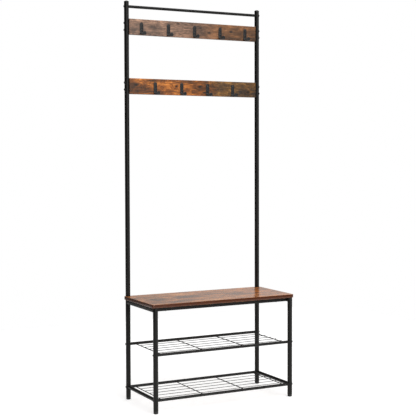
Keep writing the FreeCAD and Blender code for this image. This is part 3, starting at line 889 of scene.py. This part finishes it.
class HallTreeFasteners(bpy.types.PropertyGroup):
    """Bolts, screws and the threads of the feet."""

    bolt_head: length("Bolt head", "Diameter of the frame bolts' heads", 0.011, 0.006)
    bolt_spacing: length("Bolt spacing", "Between the two bolts at a hook board's end", 0.032, 0.01)
    rail_bolt_head: length("Rail bolt head", "Diameter of the seat rail bolts' heads", 0.009, 0.005)
    screw_head: length("Screw head", "Diameter of the wood screws' heads", 0.007, 0.004)
    thread_pitch: length("Thread pitch", "Pitch of the levelling feet's thread", 0.00125, 0.0005)
    thread_depth: length("Thread depth", "Depth of the levelling feet's thread", 0.0006, 0.0001)


class HallTreeColours(bpy.types.PropertyGroup):
    """Base colours of the finishes."""

    frame_black: base_colour("Frame", "Powder coat of the frame", (0.0052, 0.0049, 0.0043))
    wire_black: base_colour("Wires", "Powder coat of the shelf wires", (0.0055, 0.0048, 0.0042))
    hook_black: base_colour("Hooks", "Coating of the hooks and fasteners", (0.0105, 0.0110, 0.0120))
    plastic_black: base_colour("Plastic", "Caps, feet and plugs", (0.0080, 0.0078, 0.0075))
    zinc: base_colour("Zinc", "Plating of the studs and nuts", (0.58, 0.59, 0.60))
    edge_band: base_colour("Edge band", "Strip on the boards' edges", (0.058, 0.0130, 0.0018))
    floor: base_colour("Floor", "Studio floor", (0.55, 0.55, 0.55))


class HallTreeStudio(bpy.types.PropertyGroup):
    """Floor, light and camera."""

    floor_half: length("Floor", "Half the floor's width", 2.2, 1.0)
    key: amount("Key light", "Strength of the soft key light", 2.2)
    overhead: amount("Overhead light", "Strength of the broad light overhead", 1.1)
    strip: amount("Strip light", "Power of the tall strip in front, in watts", 40.0)
    ambient: amount("Ambient", "Strength of the light from behind and from the right", 1.0)
    lens: amount("Lens", "The camera's focal length in millimetres", 87.8, 10.0)


GROUPS = (
    ("hall_tree_tubes", HallTreeTubes),
    ("hall_tree_boards", HallTreeBoards),
    ("hall_tree_hooks", HallTreeHooks),
    ("hall_tree_fasteners", HallTreeFasteners),
    ("hall_tree_colours", HallTreeColours),
    ("hall_tree_studio", HallTreeStudio),
)


# ---------------------------------------------------------------- operators


class HALLTREE_OT_uprights(bpy.types.Operator):
    """Make the four legs and the two posts"""

    bl_idname = "hall_tree.uprights"
    bl_label = "Legs and posts"

    def execute(self, context):
        edge = context.scene.hall_tree_tubes.end_edge
        for node in ["leg_" + place for place in PLACES] + ["post_left", "post_right"]:
            x, y, radius, bottom, top = upright(node)
            tube = bar((x, y, bottom), (x, y, top), radius, edge, around=48, wear=0.6)
            put_piece(node + "_tube", [tube], "frame_black", stands_for=node)
        return {"FINISHED"}


class HALLTREE_OT_crossbars(bpy.types.Operator):
    """Make the top rod and the shelves' front and rear tubes"""

    bl_idname = "hall_tree.crossbars"
    bl_label = "Top rod and shelf tubes"

    def execute(self, context):
        nodes = ["top_rod"] + [shelf + end for shelf in SHELVES for end in ("_front_tube", "_rear_tube")]
        for node in nodes:
            middle, radius = crossbar(node)
            section = circle(radius, 40)
            tube = carried(section, saddle_reach(LEG_X, section[0]), middle, 0)
            put_piece(node + "_bar", [tube], "frame_black", stands_for=node)
        return {"FINISHED"}


class HALLTREE_OT_low_side_rails(bpy.types.Operator):
    """Make the round rails at the bottom shelf's ends, with their weld beads"""

    bl_idname = "hall_tree.low_side_rails"
    bl_label = "Low side rails"

    def execute(self, context):
        bead = context.scene.hall_tree_tubes.bead
        for side_name in ("left", "right"):
            node = "bottom_side_rail_" + side_name
            middle, radius = crossbar(node)
            section = circle(radius, 40)
            reach = saddle_reach(LEG_Y, section[0])
            shells = [carried(section, reach, middle, 1)]
            shells += weld_beads(section, reach, middle, 1, bead)
            put_piece(node + "_tube", shells, "frame_black", stands_for=node)
        return {"FINISHED"}


class HALLTREE_OT_seat_rails(bpy.types.Operator):
    """Make the rectangular rails under the seat, with their weld beads"""

    bl_idname = "hall_tree.seat_rails"
    bl_label = "Seat rails"

    def execute(self, context):
        tubes = context.scene.hall_tree_tubes
        for side_name, leg_x in (("left", -LEG_X), ("right", LEG_X)):
            node = "seat_side_rail_" + side_name
            low, high = extent(node)
            middle, half = (low + high) / 2, (high - low) / 2
            section = rounded_rectangle(half[0], half[2], tubes.rail_corner)
            reach = saddle_reach(LEG_Y, section[0] + middle[0] - leg_x)
            shells = [carried(section, reach, middle, 1)]
            shells += weld_beads(section, reach, middle, 1, tubes.bead * 0.8)
            put_piece(node + "_tube", shells, "frame_black", stands_for=node)
        for node in ("seat_front_rail", "seat_rear_rail"):
            low, high = extent(node)
            middle, half = (low + high) / 2, (high - low) / 2
            section = rounded_rectangle(half[1], half[2], tubes.rail_corner)
            rail = carried(section, np.full(len(section[0]), half[0]), middle, 0)
            put_piece(node + "_tube", [rail], "frame_black", stands_for=node)
        return {"FINISHED"}


class HALLTREE_OT_shelf_wires(bpy.types.Operator):
    """Make the wires of both shelves, with a spot weld wherever two of them cross"""

    bl_idname = "hall_tree.shelf_wires"
    bl_label = "Shelf wires"

    def execute(self, context):
        size = context.scene.hall_tree_tubes.nugget
        for shelf in SHELVES:
            low, high = extent(shelf + "_long_wires")
            radius = (high[2] - low[2]) / 2
            z = low[2] + radius
            rows = spread(high[1] - radius, LONG_WIRES)
            shells = [bar((low[0], y, z), (high[0], y, z), radius, radius * 0.5, around=14) for y in rows]
            put_piece(shelf + "_long_wire_set", shells, "wire_black", stands_for=shelf + "_long_wires")
            low, high = extent(shelf + "_cross_wires")
            radius = (high[2] - low[2]) / 2
            joint_z = low[2] + 2 * radius
            section = circle(radius, 20)
            middle, tube_radius = crossbar(shelf + "_rear_tube")
            reach = saddle_reach(middle[1], section[1], tube_radius)
            shells = []
            for x in spread(high[0] - radius, CROSS_WIRES):
                place = np.array([x, 0.0, low[2] + radius])
                shells.append(carried(section, reach, place, 1))
                shells += weld_beads(section, reach, place, 1, size * 0.4)
                shells += [nugget((x, y, joint_z), (size, size * 0.8, size * 0.34)) for y in rows]
            put_piece(shelf + "_cross_wire_set", shells, "wire_black", stands_for=shelf + "_cross_wires")
        return {"FINISHED"}


class HALLTREE_OT_seat(bpy.types.Operator):
    """Make the seat board"""

    bl_idname = "hall_tree.seat"
    bl_label = "Seat board"

    def execute(self, context):
        boards = context.scene.hall_tree_boards
        low, high = extent("seat_board")
        board = slab(low, high, 2, boards.seat_corner, boards.edge)
        put_piece("seat_panel", [board], "seat_wood", stands_for="seat_board")
        return {"FINISHED"}


class HALLTREE_OT_hook_boards(bpy.types.Operator):
    """Make the two boards that carry the hooks"""

    bl_idname = "hall_tree.hook_boards"
    bl_label = "Hook boards"

    def execute(self, context):
        boards = context.scene.hall_tree_boards
        sharp_corner = 0.0004
        for row in HOOKS:
            low, high = extent(row + "_hook_board")
            board = slab(low, high, 1, sharp_corner, boards.edge)
            put_piece(row + "_hook_panel", [board], row + "_board_wood", stands_for=row + "_hook_board")
        return {"FINISHED"}


class HALLTREE_OT_hooks(bpy.types.Operator):
    """Make the nine coat hooks"""

    bl_idname = "hall_tree.hooks"
    bl_label = "Hooks"

    def execute(self, context):
        for row in HOOKS.values():
            for node in row:
                strap = strap_hook(node, context.scene.hall_tree_hooks)
                put_piece(node + "_strap", [strap], "hook_black", stands_for=node)
        return {"FINISHED"}


class HALLTREE_OT_hook_screws(bpy.types.Operator):
    """Make the wood screws of the hooks"""

    bl_idname = "hall_tree.hook_screws"
    bl_label = "Hook screws"

    def execute(self, context):
        hooks = context.scene.hall_tree_hooks
        bite = 0.010
        screw = wood_screw(context.scene.hall_tree_fasteners.screw_head / 2, hooks.thickness + bite)
        shells = []
        for node in HOOKS["upper"] + HOOKS["lower"]:
            low, high = extent(node)
            for drop in (hooks.screw_from_top, hooks.screw_from_top + hooks.screw_spacing):
                seat = ((low[0] + high[0]) / 2, high[1] - hooks.thickness, high[2] - drop)
                shells.append(moved(screw, seat, (0, -1, 0)))
        put_piece("hook_screw_set", shells, "fastener_black", stands_for="hook_screws")
        return {"FINISHED"}


def tube_bolts(heights_by_y, head):
    """Socket bolts on the outer skin of the uprights, at each (y, heights)."""
    under = TUBE_RADIUS - math.sqrt(TUBE_RADIUS ** 2 - head ** 2)
    bolt = domed_fastener(
        head, rim=0.001, rise=0.0026, under=under, shank_radius=0.003, length=0.040,
        recess=hexagon, reach=head * 0.42, depth=0.0019)
    return [
        moved(bolt, (way * (LEG_X + TUBE_RADIUS), y, z), (way, 0, 0))
        for y, heights in heights_by_y for z in heights for way in (-1, 1)
    ]


class HALLTREE_OT_frame_bolts(bpy.types.Operator):
    """Make the bolts through the legs and posts"""

    bl_idname = "hall_tree.frame_bolts"
    bl_label = "Frame bolts"

    def execute(self, context):
        fasteners = context.scene.hall_tree_fasteners
        head, half = fasteners.bolt_head / 2, fasteners.bolt_spacing / 2
        shelves = [crossbar(shelf + "_rear_tube")[0][2] for shelf in SHELVES]
        rod = crossbar("top_rod")[0][2]
        frame_set = tube_bolts([(-LEG_Y, shelves), (LEG_Y, shelves + [rod])], head)
        put_piece("frame_bolt_set", frame_set, "fastener_black", stands_for="frame_bolts")
        boards = [middle + step for middle in hook_board_middles() for step in (-half, half)]
        board_set = tube_bolts([(LEG_Y, boards)], head)
        put_piece("board_bolt_set", board_set, "fastener_black", stands_for="board_bolts")
        return {"FINISHED"}


class HALLTREE_OT_seat_fasteners(bpy.types.Operator):
    """Make the bolts of the seat rails and the screws into the seat board"""

    bl_idname = "hall_tree.seat_fasteners"
    bl_label = "Seat fasteners"

    def execute(self, context):
        fasteners = context.scene.hall_tree_fasteners
        head = fasteners.rail_bolt_head / 2
        outer = extent("seat_side_rail_right")[1][0]
        bolt = domed_fastener(
            head, rim=0.0006, rise=0.0018, under=0.0, shank_radius=0.0025, length=0.030,
            recess=hexagon, reach=head * 0.42, depth=0.0014)
        rails = [sum(extent(node)) / 2 for node in ("seat_front_rail", "seat_rear_rail")]
        shells = [
            moved(bolt, (way * outer, rail[1], rail[2]), (way, 0, 0))
            for rail in rails for way in (-1, 1)
        ]
        put_piece("seat_rail_bolt_set", shells, "fastener_black", stands_for="seat_rail_bolts")
        head = fasteners.screw_head / 2
        low, high = extent("seat_screws")
        seat = low[2] + SCREW_RIM + SCREW_RISE
        screw = wood_screw(head, high[2] - seat)
        shells = [
            moved(screw, (x, y, seat), (0, 0, -1))
            for x in (low[0] + head, high[0] - head) for y in (low[1] + head, high[1] - head)
        ]
        put_piece("seat_screw_set", shells, "fastener_black", stands_for="seat_screws")
        return {"FINISHED"}


class HALLTREE_OT_post_caps(bpy.types.Operator):
    """Make the caps of the two posts"""

    bl_idname = "hall_tree.post_caps"
    bl_label = "Post caps"

    def execute(self, context):
        for side in ("left", "right"):
            x, y, radius, bottom, top = upright("post_cap_" + side)
            rim_bottom = upright("post_" + side)[4]
            rise, edge, lead_in = 0.004, 0.0003, 0.0006
            ball = (radius ** 2 + rise ** 2) / (2 * rise)
            profile = [(BORE_RADIUS - lead_in, bottom), (BORE_RADIUS, bottom + lead_in)]
            profile += [(BORE_RADIUS, rim_bottom), (radius - edge, rim_bottom, 0.2)]
            profile += [(radius, rim_bottom + edge, 0.5), (radius, top - rise - 0.0004, 0.6)]
            profile += [(radius - edge, top - rise + 0.0001, 0.8)]
            for share in (0.93, 0.8, 0.6, 0.4, 0.2, 0.05):
                r = radius * share
                profile.append((r, top - ball + math.sqrt(ball ** 2 - r ** 2)))
            cap = moved(turned(profile, 48), (x, y, 0.0))
            put_piece("post_cap_%s_moulding" % side, [cap], "cap_plastic", stands_for="post_cap_" + side)
        return {"FINISHED"}


class HALLTREE_OT_feet(bpy.types.Operator):
    """Make the four levelling feet, their threaded studs and the inserts they screw into"""

    bl_idname = "hall_tree.feet"
    bl_label = "Levelling feet"

    def execute(self, context):
        fasteners = context.scene.hall_tree_fasteners
        pitch, depth = fasteners.thread_pitch, fasteners.thread_depth
        insert_low, insert_high = extent("foot_inserts")
        seat = insert_low[2]
        flange, plug_length = LEG_BOTTOM - seat, insert_high[2] - LEG_BOTTOM
        sole_edge, groove_height, groove_depth = 0.003, 0.0052, 0.0005
        edge, thread_gap = 0.0007, 0.00008
        inserts = []
        for place in PLACES:
            x, y, radius, bottom, top = upright("foot_" + place)
            groove, inner = bottom + groove_height, radius - groove_depth
            profile = rounded_end(radius, sole_edge, bottom, 1, 0.5)
            profile += [(radius, groove), (inner, groove + 0.0004), (inner, groove + 0.001)]
            profile += [(radius, groove + 0.0014, 0.3), (radius, top - edge, 0.3), (radius - edge, top, 0.3)]
            body = "levelling_foot_" + place
            pad = moved(turned(profile, 48), (x, y, 0.0))
            put_piece("foot_%s_pad" % place, [pad], "foot_plastic", "foot_" + place, body)
            _, _, stud_radius, stud_bottom, stud_top = upright("foot_stud_" + place)
            stud = threaded_stud(x, y, stud_bottom, stud_top, stud_radius, pitch, depth)
            put_piece("foot_%s_thread" % place, [stud], "zinc_steel", "foot_stud_" + place, body)
            bore = stud_radius + thread_gap
            inserts.append(washer_plug(x, y, seat, flange, TUBE_RADIUS, BORE_RADIUS, plug_length, bore))
        put_piece("foot_insert_set", inserts, "foot_plastic", stands_for="foot_inserts")
        return {"FINISHED"}


class HALLTREE_OT_inner_fittings(bpy.types.Operator):
    """Give the plugs, nuts, inserts and studs inside the tubes and boards their finishes"""

    bl_idname = "hall_tree.inner_fittings"
    bl_label = "Inner fittings"

    def execute(self, context):
        for node in ("post_plugs", "rear_leg_plugs", "front_leg_plugs", "seat_rail_plugs"):
            dress(node, "plug_plastic")
        for node in ("post_studs", "end_nuts", "board_inserts"):
            dress(node, "zinc_steel")
        return {"FINISHED"}


def add_light(name, kind, strength, place, target, **settings):
    """Adds a light at place that shines at target."""
    light = bpy.data.lights.new(name, kind)
    light.energy = strength
    for key, value in settings.items():
        setattr(light, key, value)
    lamp = bpy.data.objects.new(name, light)
    rows = facing(np.asarray(place, float) - np.asarray(target, float))
    lamp.matrix_world = Matrix([list(rows[:, i]) + [place[i]] for i in range(3)] + [[0, 0, 0, 1]])
    bpy.context.scene.collection.objects.link(lamp)


def studio_world(ambient):
    """A white surround for the camera. Everything else sees light that grows to the right and the back.

    Its strength is ambient (0.1 + rise(x) rise(y)), where rise runs smoothly from 0 to 1.
    """
    world = bpy.data.worlds.new("studio_surround")
    world.use_nodes = True
    nodes = Nodes(world.node_tree)
    nodes.tree.nodes.clear()
    direction = nodes.add("ShaderNodeTexCoord").outputs["Generated"]
    parts = nodes.add("ShaderNodeSeparateXYZ", {0: direction}).outputs
    both = nodes.times(nodes.span(parts[0], 0.05, 0.95), nodes.span(parts[1], -0.60, 0.30))
    strength = nodes.plus(nodes.times(both, ambient), ambient * 0.1)
    soft = nodes.add("ShaderNodeBackground", {"Color": (1.0, 0.985, 0.96, 1.0), "Strength": strength})
    white = nodes.add("ShaderNodeBackground", {"Color": (1.0, 1.0, 1.0, 1.0), "Strength": 1.0})
    seen = nodes.add("ShaderNodeLightPath").outputs["Is Camera Ray"]
    mixed = nodes.add("ShaderNodeMixShader", {0: seen, 1: soft.outputs[0], 2: white.outputs[0]})
    nodes.add("ShaderNodeOutputWorld", {"Surface": mixed.outputs[0]})
    bpy.context.scene.world = world


def add_camera(lens):
    """Puts the camera in front, to the left, a little under the middle of the posts."""
    yaw, pitch, roll = math.radians(27.75), math.radians(2.17), math.radians(0.13)
    ahead = np.array([math.sin(yaw) * math.cos(pitch), math.cos(yaw) * math.cos(pitch), -math.sin(pitch)])
    level = np.array([math.cos(yaw), -math.sin(yaw), 0.0])
    down = np.cross(ahead, level)
    right = math.cos(roll) * level + math.sin(roll) * down
    down = -math.sin(roll) * level + math.cos(roll) * down
    place = (-2.1601, -4.14449, 1.12556)
    camera = bpy.data.objects.new("camera", bpy.data.cameras.new("camera"))
    camera.data.lens = lens
    camera.data.sensor_width = 36.0
    camera.data.shift_x, camera.data.shift_y = -0.0120, -0.0345
    rows = [[right[i], -down[i], -ahead[i], place[i]] for i in range(3)]
    camera.matrix_world = Matrix(rows + [[0, 0, 0, 1]])
    bpy.context.scene.collection.objects.link(camera)
    bpy.context.scene.camera = camera


class HALLTREE_OT_studio(bpy.types.Operator):
    """Make the floor, the lights and the camera"""

    bl_idname = "hall_tree.studio"
    bl_label = "Studio"

    def execute(self, context):
        studio = context.scene.hall_tree_studio
        lines, drop = 13, 0.0002  # grid lines each way, and how far under the feet the floor lies
        x, y = np.meshgrid(spread(studio.floor_half, lines), spread(studio.floor_half, lines))
        points = np.stack([x.ravel(), y.ravel(), np.full(x.size, -drop)], axis=-1)
        k = (np.arange(lines - 1)[:, None] * lines + np.arange(lines - 1)).reshape(-1, 1)
        mesh = bpy.data.meshes.new("studio_floor")
        mesh.from_pydata(points.tolist(), [], (k + np.array([0, 1, lines + 1, lines])).tolist())
        mesh.materials.append(paper_floor("floor_finish", opaque(context.scene.hall_tree_colours.floor)))
        floor = bpy.data.objects.new("studio_floor", mesh)
        context.scene.collection.objects.link(floor)
        middle = (0.0, 0.0, 0.9)
        add_light("key_light", "SUN", studio.key, (0.9, -4.6, 4.0), middle, angle=math.radians(50))
        add_light("overhead_light", "SUN", studio.overhead, (-0.6, -1.2, 6.0), middle, angle=math.radians(90))
        add_light(
            "strip_light", "AREA", studio.strip, (-0.25, -3.7, 1.2), (0.0, 0.0, 1.1),
            shape="RECTANGLE", size=0.35, size_y=2.4)
        studio_world(studio.ambient)
        add_camera(studio.lens)
        context.scene.view_settings.view_transform = "Standard"
        return {"FINISHED"}


OPERATORS = (
    HALLTREE_OT_uprights,
    HALLTREE_OT_crossbars,
    HALLTREE_OT_low_side_rails,
    HALLTREE_OT_seat_rails,
    HALLTREE_OT_shelf_wires,
    HALLTREE_OT_seat,
    HALLTREE_OT_hook_boards,
    HALLTREE_OT_hooks,
    HALLTREE_OT_hook_screws,
    HALLTREE_OT_frame_bolts,
    HALLTREE_OT_seat_fasteners,
    HALLTREE_OT_post_caps,
    HALLTREE_OT_feet,
    HALLTREE_OT_inner_fittings,
    HALLTREE_OT_studio,
)


class HALLTREE_PT_panel(bpy.types.Panel):
    """The hall tree's pieces, sizes and colours"""

    bl_idname = "HALLTREE_PT_panel"
    bl_label = "Hall Tree"
    bl_space_type = "VIEW_3D"
    bl_region_type = "UI"
    bl_category = "Hall Tree"

    def draw(self, context):
        for name, group in GROUPS:
            box = self.layout.box()
            box.label(text=group.__doc__)
            settings = getattr(context.scene, name)
            for key in group.__annotations__:
                box.prop(settings, key)
        for operator in OPERATORS:
            self.layout.operator(operator.bl_idname)


def register():
    """Registers the settings, the operators and the panel."""
    for name, group in GROUPS:
        bpy.utils.register_class(group)
        setattr(bpy.types.Scene, name, bpy.props.PointerProperty(type=group))
    for operator in OPERATORS:
        bpy.utils.register_class(operator)
    bpy.utils.register_class(HALLTREE_PT_panel)


def unregister():
    """Removes the panel, the operators and the settings."""
    bpy.utils.unregister_class(HALLTREE_PT_panel)
    for operator in reversed(OPERATORS):
        bpy.utils.unregister_class(operator)
    for name, group in reversed(GROUPS):
        delattr(bpy.types.Scene, name)
        bpy.utils.unregister_class(group)


def main():
    """Makes every piece and the studio."""
    register()
    for operator in OPERATORS:
        getattr(bpy.ops.hall_tree, operator.bl_idname.split(".")[1])()


if __name__ == "__main__":
    main()
